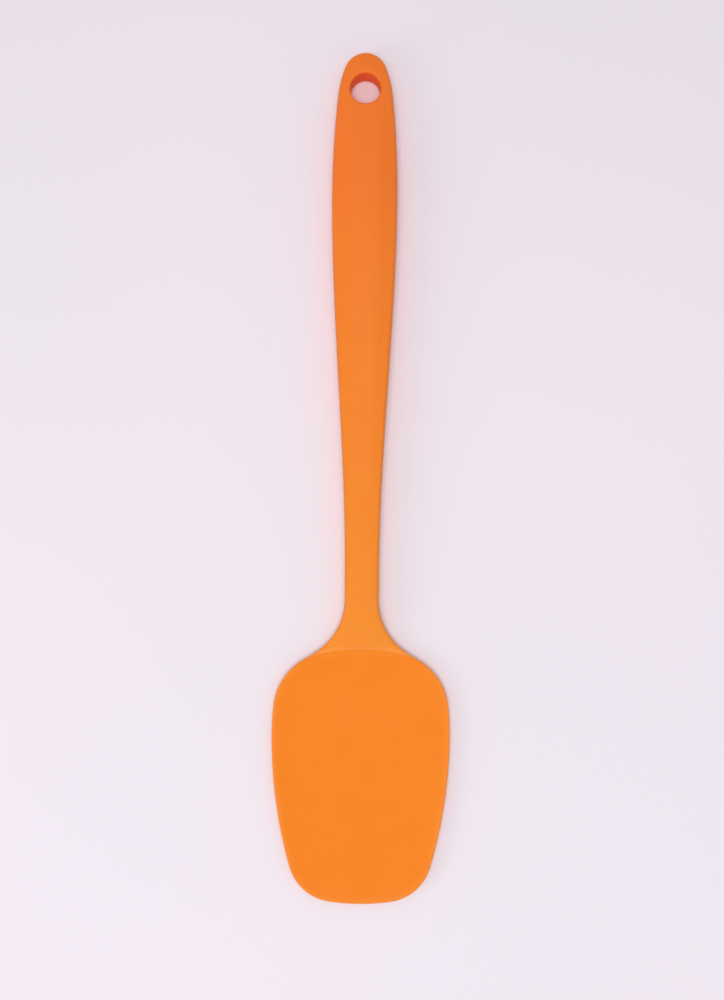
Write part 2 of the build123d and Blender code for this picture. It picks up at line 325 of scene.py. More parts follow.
class SpatulaForm:
    """The outline and the heights of the silicone body, worked out from its sizes."""

    # The plan and the curl of the blade
    end_radius_share = 0.67
    end_shoulder_radius_share = 3.4
    lip_band_share = 0.62
    # The sections: how square their sides are, how far the top falls from its crown, the fan
    fan_ease_share = 0.4
    squareness = 2.65
    belly_squareness = 3.4
    crown_share = 0.24
    crown_ease_share = 0.4
    grip_fall = 0.42
    neck_fall = 0.1
    side_round = 1.3 * MM
    fan_crown_power = 2.2
    crease_above = 1.05 * MM
    crease_below = 0.2 * MM
    tongue_reach = 7.0 * MM
    tongue_lift_share = 2.0
    belly_blend = 0.5 * MM
    parting_height = 0.045 * MM
    parting_width_share = 0.1
    # Painted light on thin silicone: a painted glow at the lip, painted sheen on the fan and a
    # painted highlight along the crease's rim
    painted_glow_reach = 2.8 * MM
    lip_painted_glow = 0.55
    fan_painted_sheen = 0.4
    # How the mesh's rows run near both ends
    nose_zone = 24.0 * MM
    inset_fade = 5.0 * MM

    def __init__(self, shape):
        self.shape = shape
        self.length = shape.overall_length
        self.grip_half = shape.grip_width / 2
        self.neck_half = shape.neck_width / 2
        self.blade_half = shape.blade_width / 2
        self.rim = shape.blade_thickness + shape.dish_depth
        self.back_rise = self.rim - shape.lip_thickness
        self.lip_middle = self.rim - shape.lip_thickness / 2
        self.neck_top = shape.neck_lift + shape.neck_thickness
        self.crease_height = self.rim + shape.fan_step
        self.crease = self.length - shape.blade_length
        self.lip_band = self.lip_band_share * min(shape.corner_radius, shape.shoulder_radius)
        self.plan_blade()
        self.plan_flare()
        self.plan_end()

    def plan_blade(self):
        """Tangent arcs of the blade, from the tip round to the crease."""
        shape = self.shape
        ease_drop = shape.shoulder_ease_radius * (1 - cos(shape.shoulder_ease_angle))
        ease_reach = shape.shoulder_ease_radius * sin(shape.shoulder_ease_angle)
        turn = cos(shape.shoulder_ease_angle) - cos(shape.crease_angle)
        crease_half = self.blade_half - ease_drop - shape.shoulder_radius * turn
        climb = sin(shape.crease_angle) - sin(shape.shoulder_ease_angle)
        upper_reach = (ease_reach + shape.shoulder_radius * climb
                       + crease_half * tip_run(shape.crease_angle))
        crease_radius = crease_half / cos(shape.crease_angle)
        self.widest = self.crease + upper_reach
        self.ease_reach = ease_reach
        self.ease_drop = ease_drop
        lower_reach = shape.blade_length - upper_reach
        corner_reach = shape.corner_radius * (sin(shape.corner_angle) - sin(shape.side_angle))
        corner_drop = shape.corner_radius * (cos(shape.side_angle) - cos(shape.corner_angle))
        run = tip_run(shape.corner_angle)
        side_reach = lower_reach - corner_reach - (self.blade_half - corner_drop) * run
        side_bend = 1 - cos(shape.side_angle)
        side_radius = side_reach / (sin(shape.side_angle) - side_bend * run)
        tip_half = self.blade_half - corner_drop - side_radius * side_bend
        tip_radius = tip_half / cos(shape.corner_angle)
        quarter = pi / 2
        tip_turn = quarter - shape.corner_angle
        side_turn = quarter - shape.side_angle
        ease_turn = quarter + shape.shoulder_ease_angle
        shoulder_turn = quarter + shape.crease_angle
        self.tip = Arc(0.0, self.length - tip_radius, tip_radius, 0.0, tip_turn)
        reach = tip_radius - shape.corner_radius
        self.corner = Arc(reach * sin(tip_turn), self.tip.station + reach * cos(tip_turn),
                          shape.corner_radius, tip_turn, side_turn)
        self.side = Arc(self.blade_half - side_radius, self.widest, side_radius,
                        side_turn, quarter)
        self.ease = Arc(self.blade_half - shape.shoulder_ease_radius, self.widest,
                        shape.shoulder_ease_radius, quarter, ease_turn)
        reach = shape.shoulder_ease_radius - shape.shoulder_radius
        self.shoulder = Arc(self.ease.across + reach * sin(ease_turn),
                            self.ease.station + reach * cos(ease_turn),
                            shape.shoulder_radius, ease_turn, shoulder_turn)
        self.top_arc = Arc(0.0, self.crease + crease_radius, crease_radius, shoulder_turn, pi)
        self.blade_arcs = [self.tip, self.corner, self.side,
                           self.ease, self.shoulder, self.top_arc]
        self.side_end = self.widest + side_radius * sin(shape.side_angle)
        half_turn = sin(pi / 4)
        self.corner_half = self.corner.across + shape.corner_radius * half_turn
        self.corner_station = self.corner.station + shape.corner_radius * half_turn

    def plan_flare(self):
        """The hollow curve and straight from the neck to the blade's shoulder."""
        shape = self.shape
        turn = shape.flare_angle
        self.flare_end = (self.widest - self.ease_reach
                          - shape.shoulder_radius * (sin(turn) - sin(shape.shoulder_ease_angle)))
        self.flare_half = (self.blade_half - self.ease_drop
                           - shape.shoulder_radius * (cos(shape.shoulder_ease_angle) - cos(turn)))
        rise = self.flare_half - self.neck_half - shape.flare_radius * (1 - cos(turn))
        self.flare_turn = self.flare_end - rise / sin(turn) * cos(turn)
        self.flare_start = self.flare_turn - shape.flare_radius * sin(turn)
        self.neck_start = self.flare_start - shape.neck_straight

    def plan_end(self):
        """The rounded hanging end."""
        shape = self.shape
        radius = self.end_radius_share * self.grip_half
        shoulder = self.end_shoulder_radius_share * self.grip_half
        self.cap_reach = radius * (1 - sin(shape.end_cap_angle))
        self.cap_half = radius * cos(shape.end_cap_angle)
        self.cap = Arc(0.0, radius, radius, pi / 2 + shape.end_cap_angle, pi)
        self.end_side = Arc(self.cap_half - shoulder * cos(shape.end_cap_angle),
                            self.cap_reach + shoulder * sin(shape.end_cap_angle), shoulder,
                            pi / 2 + shape.end_shoulder_angle, pi / 2 + shape.end_cap_angle)
        climb = sin(shape.end_cap_angle) - sin(shape.end_shoulder_angle)
        self.shoulder_reach = self.cap_reach + shoulder * climb
        shoulder_half = self.end_side.half_at(self.shoulder_reach)
        grip_radius = (self.grip_half - shoulder_half) / (1 - cos(shape.end_shoulder_angle))
        self.grip_place = self.shoulder_reach + grip_radius * sin(shape.end_shoulder_angle)
        self.grip_side = Arc(self.grip_half - grip_radius, self.grip_place, grip_radius,
                             pi / 2, pi / 2 + shape.end_shoulder_angle)
        self.end_arcs = [self.cap, self.end_side, self.grip_side]

    def taper(self, station):
        """0 at the grip's widest place, 1 where the neck starts."""
        return eased(station, self.grip_place, self.neck_start)

    def half_width(self, station):
        """Half the tool's width at a station."""
        if station < self.cap_reach:
            return self.cap.half_at(station)
        if station < self.shoulder_reach:
            return self.end_side.half_at(station)
        if station < self.grip_place:
            return self.grip_side.half_at(station)
        if station < self.flare_start:
            return blend(self.grip_half, self.neck_half, self.taper(station))
        if station < self.flare_turn:
            radius = self.shape.flare_radius
            return self.neck_half + radius - sqrt(radius ** 2 - (station - self.flare_start) ** 2)
        if station < self.flare_end:
            run = (self.flare_end - station) / cos(self.shape.flare_angle)
            return self.flare_half - run * sin(self.shape.flare_angle)
        if station < self.widest - self.ease_reach:
            return self.shoulder.half_at(station)
        if station < self.widest:
            return self.ease.half_at(station)
        if station < self.side_end:
            return self.side.half_at(station)
        return self.corner.half_at(station)

    def side_slope(self, station):
        """How fast the half width grows along the tool."""
        reach = 0.02 * MM
        return (self.half_width(station + reach) - self.half_width(station - reach)) / (2 * reach)

    def crease_curve(self, across):
        """Station of the crease at a distance from the centre line."""
        middle = across < self.top_arc.radius * cos(self.shape.crease_angle)
        return (self.top_arc if middle else self.shoulder).station_at(across, -1)

    def tip_arc(self, across):
        """Which arc the tip's edge follows at a distance from the centre line."""
        middle = across < self.tip.radius * cos(self.shape.corner_angle)
        return self.tip if middle else self.corner

    def tip_curve(self, across):
        """Station of the tip's edge at a distance from the centre line."""
        return self.tip_arc(across).station_at(across, 1)

    def blade_depth(self, across, station):
        """How far a point of the blade lies inside the blade's outline."""
        found = [arc.depth(across, station) for arc in self.blade_arcs]
        found = [depth for depth in found if depth is not None] + [self.lip_band]
        return max(min(found), 0.0)

    def edge_depth(self, across, station):
        """How far a point lies inside the whole tool's outline."""
        if station > self.flare_end:
            return self.blade_depth(across, station)
        if station < self.grip_place:
            found = [arc.depth(across, station) for arc in self.end_arcs]
            found = [depth for depth in found if depth is not None]
            if found:
                return max(min(found), 0.0)
        slope = self.side_slope(station)
        return max(self.half_width(station) - across, 0.0) / sqrt(1 + slope ** 2)

    def fan_share(self, station):
        """0 on the round neck, 1 where the fan reaches the blade's shoulders."""
        return eased(station, self.flare_start, self.flare_end)

    def roundness(self, station):
        """How far in from the outline the section's side is round."""
        place = min(max(station, self.shape.hole_place), self.flare_end)
        slope = self.side_slope(place)
        full = self.half_width(place) / sqrt(1 + slope ** 2)
        return blend(full, self.shape.lip_round, self.fan_share(station))

    def round_off(self, part, power):
        """Height share of a rounded side, by its share of the way in; a high power is squarer."""
        part = min(max(part, 0.0), 1.0)
        return (1 - (1 - part) ** power) ** (1 / power)

    def top_share(self, depth, station):
        """Height share of the handle's top: a rounded side, a plain slope and a level crown."""
        reach = self.roundness(station)
        slope = max(1 - min(depth / reach, 1.0) - self.crown_share, 0.0) / (1 - self.crown_share)
        ease = self.crown_ease_share
        fall = slope ** 2 / (2 * ease) if slope < ease else slope - ease / 2
        fall *= blend(self.grip_fall, self.neck_fall, self.taper(station))
        return self.round_off(depth / min(self.side_round, reach), self.squareness) * (1 - fall)

    def crown(self, station):
        """Height of the top face on the centre line, down to the crease."""
        shape = self.shape
        if station < self.grip_place:
            part = eased(station, 0.0, self.grip_place)
            return blend(shape.end_thickness, shape.grip_thickness, part)
        if station < self.flare_start:
            return blend(shape.grip_thickness, self.neck_top, self.taper(station))
        part = (station - self.flare_start) / (self.crease - self.flare_start)
        ease = self.fan_ease_share
        fall = part ** 2 / (ease * (2 - ease)) if part < ease else (2 * part - ease) / (2 - ease)
        return blend(self.neck_top, self.crease_height, fall)

    def side_height(self, station):
        """Height of the parting line round the tool's side."""
        place = min(station, self.neck_start)
        middle = (self.crown(place) + self.belly(place)) / 2
        part = eased(station, self.neck_start, self.flare_end)
        return blend(middle, self.lip_middle, part)

    def belly(self, station):
        """Height of the round underside on the centre line, before it is cut flat."""
        cut = self.shape.underside_flat_depth
        return (self.shape.neck_lift + cut) * self.taper(station) - cut

    def tone(self, across, station, height):
        """1 for a painted highlight along the fan's rim over the crease, less for painted sheen on
        the fan and a painted glow at the lip, and -1 for painted shade on the hole's wall.
        """
        # Painted shade on the hole's wall
        mouth = self.shape.hole_radius + self.shape.hole_rim_round
        into_hole = mouth - sqrt(across ** 2 + (station - self.shape.hole_place) ** 2)
        if into_hole > 0:
            return -smooth(into_hole / self.shape.hole_rim_round)
        behind = station - self.crease_curve(min(across, self.flare_half))
        run = self.crease_above + self.crease_below
        part = min(max((behind + self.crease_above) / run, 0.0), 1.0)
        if part == 1 or across > self.flare_half:
            depth = self.blade_depth(across, station)
            lip = fading(depth, self.painted_glow_reach) ** 2 * smooth(behind / self.painted_glow_reach)
            return self.lip_painted_glow * lip
        fan = eased(station, self.neck_start, self.crease)
        fan *= self.fan_painted_sheen * (1 - part)
        return blend(fan, 1.0, 4 * part * (1 - part)) if height > self.lip_middle else fan

    def curl(self, depth):
        """How far the blade's edge band has curled up, from 0 to 1."""
        return fading(depth, self.lip_band) ** 2

    def fan_surface(self, across, station, centre, edge):
        """A face of the fan, from its height on the centre line to its height at the edge."""
        part = self.fan_share(station)
        if part == 0:
            return centre
        out = min(across / self.half_width(min(station, self.flare_end)), 1.0)
        return centre + (edge - centre) * part * part * out ** self.fan_crown_power

    def top_field(self, across, station):
        """Height of the top face before its side is rounded."""
        blade = blend(self.shape.blade_thickness, self.rim,
                      self.curl(self.blade_depth(across, station)))
        behind = station - self.crease_curve(min(across, self.flare_half))
        if behind > self.crease_below:
            return blade
        fan = self.fan_surface(across, station, self.crown(station), self.rim)
        if station < self.crease - self.crease_above or behind < -self.crease_above:
            return fan
        return blend(fan, blade, eased(behind, -self.crease_above, self.crease_below))

    def bottom_field(self, across, station):
        """Height of the underside before its side is rounded."""
        fan = self.fan_surface(across, station, self.belly(station), self.back_rise)
        if station < self.crease:
            return fan
        blade = self.back_rise * self.curl(self.blade_depth(across, station))
        sunk = smooth((station - self.crease - self.tongue_reach) / self.tongue_reach)
        fan += self.back_rise * self.tongue_lift_share * sunk
        gap = (fan - blade) / self.belly_blend
        if abs(gap) > 1:
            return min(fan, blade)
        return min(fan, blade) - self.belly_blend * (1 - abs(gap)) ** 2 / 4

    def height(self, across, station, depth, over):
        """Height of the top face, or of the underside, at a point."""
        side = self.side_height(station)
        if over:
            return blend(side, self.top_field(across, station), self.top_share(depth, station))
        part = self.round_off(depth / self.roundness(station), self.belly_squareness)
        return max(blend(side, self.bottom_field(across, station), part), 0.0)

    def row_end(self, station):
        """Station where a row that crosses the centre line at a station meets the outline."""
        if station < self.nose_zone:
            return station + self.cap_reach * (1 - smooth(station / self.nose_zone))
        bow = self.flare_end - self.crease
        if station < self.crease + self.crease_below:
            return station + bow * eased(station, self.neck_start, self.crease)
        first = self.crease + self.crease_below
        part = (station - first) / (self.length - first)
        return blend(first + bow, self.corner_station, part)

    def row_bow(self, station, out):
        """Share of the way along a row's bow, at an across share."""
        if station < self.nose_zone:
            return self.cap.station_at(self.cap_half * out, -1) / self.cap_reach
        if station < self.crease + self.crease_below:
            bow = self.crease_curve(self.flare_half * out) - self.crease
            return bow / (self.flare_end - self.crease)
        first = self.crease + self.crease_below
        part = (station - first) / (self.length - first)
        if part >= 1:
            tip = self.length - self.tip_curve(self.corner_half * out)
            return tip / (self.length - self.corner_station)
        reached = blend(self.crease_curve(self.flare_half * out) + self.crease_below,
                        self.tip_curve(self.corner_half * out), part)
        return (reached - station) / (self.row_end(station) - station) if out else 0.0

    def outline_inset(self, out, station, depth, first, last):
        """Plan place of an edge point, moved in from the outline by a depth."""
        if first:
            across = out * self.cap_half
            along = self.cap.station_at(across, -1)
            inward = self.cap.inward(across, along)
        elif last:
            across = out * self.corner_half
            along = self.tip_curve(across)
            inward = self.tip_arc(across).inward(across, along)
        else:
            along = self.row_end(station)
            across = self.half_width(along)
            slope = self.side_slope(along)
            size = sqrt(1 + slope ** 2)
            inward = (-1 / size, slope / size)
        return across + depth * inward[0], along + depth * inward[1]

    def place(self, out, station, level, first, last):
        """Where a point of the divided slab lies: out is signed, -1 to 1."""
        way = -1 if out < 0 else 1
        out = abs(out)
        lip = self.shape.lip_round
        edge = out == 1 or first or last
        rise = abs(2 * level - 1)
        depth = lip
        if edge:
            depth = lip * (1 - (1 - rise ** self.squareness) ** (1 / self.squareness))
            ridge = fading(rise, self.parting_width_share)
            across, along = self.outline_inset(out, station,
                                               depth + self.parting_height * (1 - ridge),
                                               first, last)
        else:
            end_across, end_along = self.outline_inset(1.0, station, lip + self.parting_height,
                                                       False, False)
            bow = self.row_bow(station, out)
            across = out * end_across
            along = station + (end_along - station) * bow
            nose_push = lip * fading(station, self.inset_fade)
            tip_push = lip * fading(self.length - station, self.inset_fade)
            along += (nose_push - tip_push) * (1 - bow)
            depth = max(self.edge_depth(across, along), lip)
        height = self.height(across, along, depth, level > 0.5)
        if edge and rise == 0:
            height = self.side_height(along)
        return Vector((way * across, self.length / 2 - along, height))


def row_stations(form):
    """Stations where the rows cross the centre line, close together where the shape needs it."""
    nose_rows, grip_step, fan_step = 26, 2.0 * MM, 1.0 * MM
    crease_rows, blade_rows, crowding, easing = 8, 56, 1.35, 0.55
    nose = [form.nose_zone * part ** crowding for part in steps(0.0, 1.0, nose_rows)]
    handle = steps(form.nose_zone, form.neck_start,
                   round((form.neck_start - form.nose_zone) / grip_step))
    before = form.crease - form.crease_above
    after = form.crease + form.crease_below
    fan = steps(form.neck_start, before, round((before - form.neck_start) / fan_step))
    crease = steps(before, after, crease_rows)
    blade = [blend(after, form.length, blend(part, smooth(part), easing))
             for part in steps(0.0, 1.0, blade_rows)]
    return nose + handle[1:] + fan[1:] + crease[1:] + blade[1:]


def column_shares(count):
    """Across shares of the columns from one side to the other, closer at the sides."""
    crowding = 0.9
    reach = crowding * pi / 2
    return [sin(part * reach) / sin(reach) for part in steps(-1.0, 1.0, count)]


def divided_slab(columns, rows, lip_rows):
    """A unit slab: a grid, extruded for its second face, with its thin wall divided in rows."""
    bm = bmesh.new()
    bmesh.ops.create_grid(bm, x_segments=columns, y_segments=rows, size=1.0)
    grown = bmesh.ops.extrude_face_region(bm, geom=bm.faces[:])
    raised = [part for part in grown["geom"] if isinstance(part, bmesh.types.BMVert)]
    bmesh.ops.translate(bm, verts=raised, vec=(0.0, 0.0, 1.0))
    wall = [edge for edge in bm.edges if abs(edge.verts[0].co.z - edge.verts[1].co.z) > 0.5]
    bmesh.ops.subdivide_edges(bm, edges=wall, cuts=lip_rows - 1)
    bmesh.ops.recalc_face_normals(bm, faces=bm.faces[:])
    return bm


def open_patch(bm, near_hole, level):
    """Deletes the faces of one side of the slab round the hole and returns the edges round it."""
    doomed = [face for face in bm.faces
              if all(abs(v.co.z - level) < LEVEL_SLACK and near_hole(v.co) for v in face.verts)]
    rim = set()
    for face in doomed:
        rim ^= set(face.edges)
    rim = [edge for edge in bm.edges if edge in rim]
    bmesh.ops.delete(bm, geom=doomed, context="FACES")
    return rim


def mouth_of_hole(bm, form, rim, over):
    """Draws the edges round an opened face in to the round hole and over its rounded mouth."""
    shape = form.shape
    face_rings, mouth_rings, wall_rings = 4, 4, 5
    centre = Vector((0.0, form.length / 2 - shape.hole_place, 0.0))
    way = -1 if over else 1
    bore = shape.hole_radius - way * shape.hole_draft / 2
    mouth = bore + shape.hole_rim_round
    ring = list({vertex for edge in rim for vertex in edge.verts})

    def turn_of(vertex):
        return atan2(vertex.co.y - centre.y, vertex.co.x)

    def face_height(place):
        across = abs(place.x)
        station = form.length / 2 - place.y
        return form.height(across, station, form.edge_depth(across, station), over)

    ring.sort(key=turn_of)
    spacing = 2 * pi / len(ring)
    drift = sum(turn_of(vertex) - spacing * number for number, vertex in enumerate(ring))
    turns = {vertex: drift / len(ring) + spacing * number for number, vertex in enumerate(ring)}
    starts = {vertex: vertex.co.copy() for vertex in ring}
    levels = dict.fromkeys(ring, 0.0)
    edges = list(rim)

    def next_ring(move):
        """Extrudes the ring once more and moves each new vertex."""
        nonlocal edges
        grown = bmesh.ops.extrude_edge_only(bm, edges=edges)["geom"]
        fresh = [part for part in grown if isinstance(part, bmesh.types.BMVert)]
        members = set(fresh)
        before = set(turns)
        edges = [part for part in grown if isinstance(part, bmesh.types.BMEdge)
                 and part.verts[0] in members and part.verts[1] in members]
        for vertex in fresh:
            source = next(edge.other_vert(vertex) for edge in vertex.link_edges
                          if edge.other_vert(vertex) in before)
            turns[vertex] = turns[source]
            starts[vertex] = starts[source]
            levels[vertex] = levels[source]
            move(vertex)
        for vertex in before:
            del turns[vertex]

    def on_circle(vertex, radius):
        turn = turns[vertex]
        return centre + Vector((radius * cos(turn), radius * sin(turn), 0.0))

    for part in steps(0.0, 1.0, face_rings)[1:]:
        def draw_in(vertex, part=part):
            place = starts[vertex].lerp(on_circle(vertex, mouth), part)
            place.z = face_height(place)
            vertex.co = place
            levels[vertex] = place.z
        next_ring(draw_in)
    for turn in steps(0.0, pi / 2, mouth_rings)[1:]:
        def round_over(vertex, turn=turn):
            place = on_circle(vertex, mouth - shape.hole_rim_round * sin(turn))
            place.z = levels[vertex] + way * shape.hole_rim_round * (1 - cos(turn))
            vertex.co = place
        next_ring(round_over)
    if over:
        for part in steps(0.0, 1.0, wall_rings)[1:-1]:
            def go_down(vertex, part=part):
                place = on_circle(vertex, bore - shape.hole_draft * part)
                top = levels[vertex] - shape.hole_rim_round
                place.z = blend(top, shape.hole_rim_round, part)
                vertex.co = place
            next_ring(go_down)
    return edges


def drop_hole(bm, form, top_rim, bottom_rim):
    """Joins both opened faces with a round hole whose mouths are rounded."""
    upper = mouth_of_hole(bm, form, top_rim, True)
    lower = mouth_of_hole(bm, form, bottom_rim, False)
    bmesh.ops.bridge_loops(bm, edges=upper + lower)


def build_skin(shape, fineness):
    """The silicone body as one closed mesh."""
    form = SpatulaForm(shape)
    stations = row_stations(form)
    columns = column_shares(fineness.columns)
    rows = len(stations) - 1
    bm = divided_slab(fineness.columns, rows, fineness.lip_rows)
    patch_reach = shape.hole_radius + 2.0 * MM
    patch_share = 0.8

    def column_of(co):
        return columns[round((co.x + 1) / 2 * fineness.columns)]

    def row_of(co):
        return round((1 - co.y) / 2 * rows)

    def near_hole(co):
        along = abs(stations[row_of(co)] - shape.hole_place) < patch_reach
        return along and abs(column_of(co)) < patch_share

    top_rim = open_patch(bm, near_hole, 1.0)
    bottom_rim = open_patch(bm, near_hole, 0.0)
    for vertex in bm.verts:
        row = row_of(vertex.co)
        vertex.co = form.place(column_of(vertex.co), stations[row], vertex.co.z,
                               row == 0, row == rows)
    drop_hole(bm, form, top_rim, bottom_rim)
    bmesh.ops.recalc_face_normals(bm, faces=bm.faces[:])
    # Painted light and shade, stored per vertex
    tone = bm.verts.layers.float.new(PAINTED_LIGHT_AND_SHADE)
    for vertex in bm.verts:
        vertex[tone] = form.tone(abs(vertex.co.x), form.length / 2 - vertex.co.y, vertex.co.z)
    return bm


def node(tree, kind, **values):
    """A shader node with the values of its inputs, in the next cell of a plain layout."""
    row, column = divmod(len(tree.nodes), NODES_A_ROW)
    made = tree.nodes.new(kind)
    made.location = (column * NODE_STEP, -row * NODE_STEP)
    for key, value in values.items():
        made.inputs[key].default_value = value
    return made


def new_material(name):
    """An empty node material and its shader."""
    material = bpy.data.materials.new(name)
    material.use_nodes = True
    tree = material.node_tree
    tree.nodes.clear()
    output = node(tree, "ShaderNodeOutputMaterial")
    shader = node(tree, "ShaderNodeBsdfPrincipled")
    tree.links.new(shader.outputs["BSDF"], output.inputs["Surface"])
    return material, tree, shader


def object_place(tree):
    """The object coordinates."""
    return node(tree, "ShaderNodeTexCoord").outputs["Object"]


def y_of(tree, place):
    """How far along the tool a place lies."""
    parts = node(tree, "ShaderNodeSeparateXYZ")
    tree.links.new(place, parts.inputs["Vector"])
    return parts.outputs["Y"]


def stretched(tree, place, along):
    """Coordinates that draw a pattern out along the tool where along is below 1."""
    made = node(tree, "ShaderNodeMapping", Scale=(1.0, along, 1.0))
    tree.links.new(place, made.inputs["Vector"])
    return made.outputs["Vector"]


def noise(tree, place, scale, detail):
    """A noise value at a place."""
    made = node(tree, "ShaderNodeTexNoise", Scale=scale, Detail=detail)
    tree.links.new(place, made.inputs["Vector"])
    return made.outputs["Fac"]


def ramp(tree, source, low, high, first, last):
    """A map from one range of a value to another."""
    ends = {"From Min": low, "From Max": high, "To Min": first, "To Max": last}
    made = node(tree, "ShaderNodeMapRange", **ends)
    tree.links.new(source, made.inputs["Value"])
    return made.outputs["Result"]


def mixed(tree, factor, first, second):
    """A mix of two colours, each a colour or a socket."""
    made = node(tree, "ShaderNodeMix")
    made.data_type = "RGBA"
    tree.links.new(factor, made.inputs["Factor"])
    for number, value in ((MIX_FIRST, first), (MIX_SECOND, second)):
        if isinstance(value, bpy.types.NodeSocket):
            tree.links.new(value, made.inputs[number])
        else:
            made.inputs[number].default_value = (*value, 1.0)
    return made.outputs[MIX_RESULT]


def relief(tree, height, strength, distance):
    """A bump node for a height."""
    made = node(tree, "ShaderNodeBump", Strength=strength, Distance=distance)
    tree.links.new(height, made.inputs["Height"])
    return made


def dress_shader(tree, shader, base, rough, bump):
    """Gives a shader its colour, roughness and fine relief."""
    tree.links.new(base, shader.inputs["Base Color"])
    tree.links.new(rough, shader.inputs["Roughness"])
    tree.links.new(bump.outputs["Normal"], shader.inputs["Normal"])


def silicone_material(finish):
    """Satin orange silicone: slight pigment drift, fine mould grain, a faint inner glow, and
    painted light and shade: painted sheen, highlight and glow on thin parts, painted shade in the
    hole.
    """
    material, tree, shader = new_material("satin orange silicone")
    place = object_place(tree)
    along = y_of(tree, place)
    broad = noise(tree, place, scale=22.0, detail=2.0)
    fine = noise(tree, place, scale=160.0, detail=3.0)
    # Orange along the tool: partly the silicone's own tones, partly painted sheen on the neck and
    # fan and painted shade on the grip.
    thin = ramp(tree, along, finish.neck_at, finish.blade_from, 0.0, 1.0)
    grip_tone_and_shade = ramp(tree, along, finish.neck_at, finish.grip_from, 0.0, 1.0)
    base = mixed(tree, thin, finish.neck_orange_and_sheen, finish.blade_orange)
    base = mixed(tree, grip_tone_and_shade, base, finish.grip_orange_and_shade)
    drift = ramp(tree, broad, *MIDDLE_NOISE, 0.0, finish.drift)
    cloud = ramp(tree, fine, *WIDE_NOISE, 0.0, finish.drift)
    base = mixed(tree, drift, base, finish.light_pigment)
    base = mixed(tree, cloud, base, finish.dark_pigment)
    # Painted light from the vertex layer: paler for the painted highlight, sheen and glow
    tone = node(tree, "ShaderNodeAttribute")
    tone.attribute_name = PAINTED_LIGHT_AND_SHADE
    pale = ramp(tree, tone.outputs["Fac"], 0.0, 1.0, 0.0, finish.painted_light_strength)
    # Painted shade on the hole's wall, from the same vertex layer
    deep = ramp(tree, tone.outputs["Fac"], 0.0, -1.0, 0.0, finish.hole_shade_strength)
    base = mixed(tree, pale, base, finish.painted_light_orange)
    base = mixed(tree, deep, base, finish.hole_shade_orange)
    rough = ramp(tree, fine, *WIDE_NOISE, finish.roughness_low, finish.roughness_high)
    shader.inputs["Specular IOR Level"].default_value = finish.shine
    shader.inputs["IOR"].default_value = finish.refraction
    shader.inputs["Subsurface Weight"].default_value = finish.glow
    shader.inputs["Subsurface Radius"].default_value = finish.glow_tint
    shader.inputs["Subsurface Scale"].default_value = finish.glow_depth
    waves = noise(tree, place, scale=70.0, detail=1.0)
    grain = noise(tree, place, scale=2600.0, detail=2.0)
    swell = relief(tree, waves, finish.swell_strength, finish.swell)
    bump = relief(tree, grain, finish.grain_strength, finish.grain)
    tree.links.new(swell.outputs["Normal"], bump.inputs["Normal"])
    dress_shader(tree, shader, base, rough, bump)
    return material


def nylon_material(finish):
    """Natural nylon with the short glass fibres showing as a faint fleck."""
    fleck_range = (0.35, 0.7)
    material, tree, shader = new_material("glass-filled nylon")
    place = stretched(tree, object_place(tree), along=0.15)
    fibre = noise(tree, place, scale=1400.0, detail=3.0)
    fleck = ramp(tree, fibre, *fleck_range, 0.0, 1.0)
    pale = [min(part * finish.fleck, 1.0) for part in finish.nylon]
    base = mixed(tree, fleck, finish.nylon, pale)
    rough = ramp(tree, fibre, *WIDE_NOISE, finish.nylon_roughness_low, finish.nylon_roughness_high)
    bump = relief(tree, fibre, finish.nylon_grain_strength, finish.nylon_grain)
    dress_shader(tree, shader, base, rough, bump)
    return material


def steel_material(finish):
    """Cold-rolled strip: fine rolling lines along the tool."""
    material, tree, shader = new_material("cold-rolled spring steel")
    place = object_place(tree)
    lines = noise(tree, stretched(tree, place, along=0.02), scale=4200.0, detail=4.0)
    cloud = noise(tree, place, scale=45.0, detail=2.0)
    line = ramp(tree, lines, *WIDE_NOISE, 0.0, 1.0)
    dark = [part * finish.rolling_line for part in finish.steel]
    base = mixed(tree, line, finish.steel, dark)
    rough = ramp(tree, cloud, *WIDE_NOISE, finish.steel_roughness_low, finish.steel_roughness_high)
    shader.inputs["Metallic"].default_value = 1.0
    bump = relief(tree, lines, finish.steel_grain_strength, finish.steel_grain)
    dress_shader(tree, shader, base, rough, bump)
    return material


def floor_material(settings):
    """Pale matt table top with a barely visible random drift of tone, and painted shade that
    darkens it towards the hanging end.
    """
    black = (0.0, 0.0, 0.0)
    material, tree, shader = new_material("pale table top")
    place = object_place(tree)
    cloud = ramp(tree, noise(tree, place, scale=4.0, detail=1.0), *MIDDLE_NOISE, 0.0, 1.0)
    # Painted shade where the lamps' light falls off across the table
    painted_falloff = ramp(tree, y_of(tree, place), settings.painted_falloff_start, settings.painted_falloff_end,
                0.0, settings.floor_painted_falloff)
    base = mixed(tree, cloud, settings.floor_colour, settings.floor_cool)
    base = mixed(tree, painted_falloff, base, black)
    tree.links.new(base, shader.inputs["Base Color"])
    shader.inputs["Roughness"].default_value = settings.floor_roughness
    shader.inputs["Specular IOR Level"].default_value = settings.floor_shine
    return material


def new_piece(name, bm, material):
    """An object from a finished bmesh, smooth shaded, at the origin."""
    mesh = bpy.data.meshes.new(name)
    bm.to_mesh(mesh)
    bm.free()
    for polygon in mesh.polygons:
        polygon.use_smooth = True
    mesh.materials.append(material)
    piece = bpy.data.objects.new(name, mesh)
    bpy.context.scene.collection.objects.link(piece)
    return piece


def dress_node(name, material):
    """Gives a core its material."""
    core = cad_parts[name]
    core.data.materials.clear()
    core.data.materials.append(material)


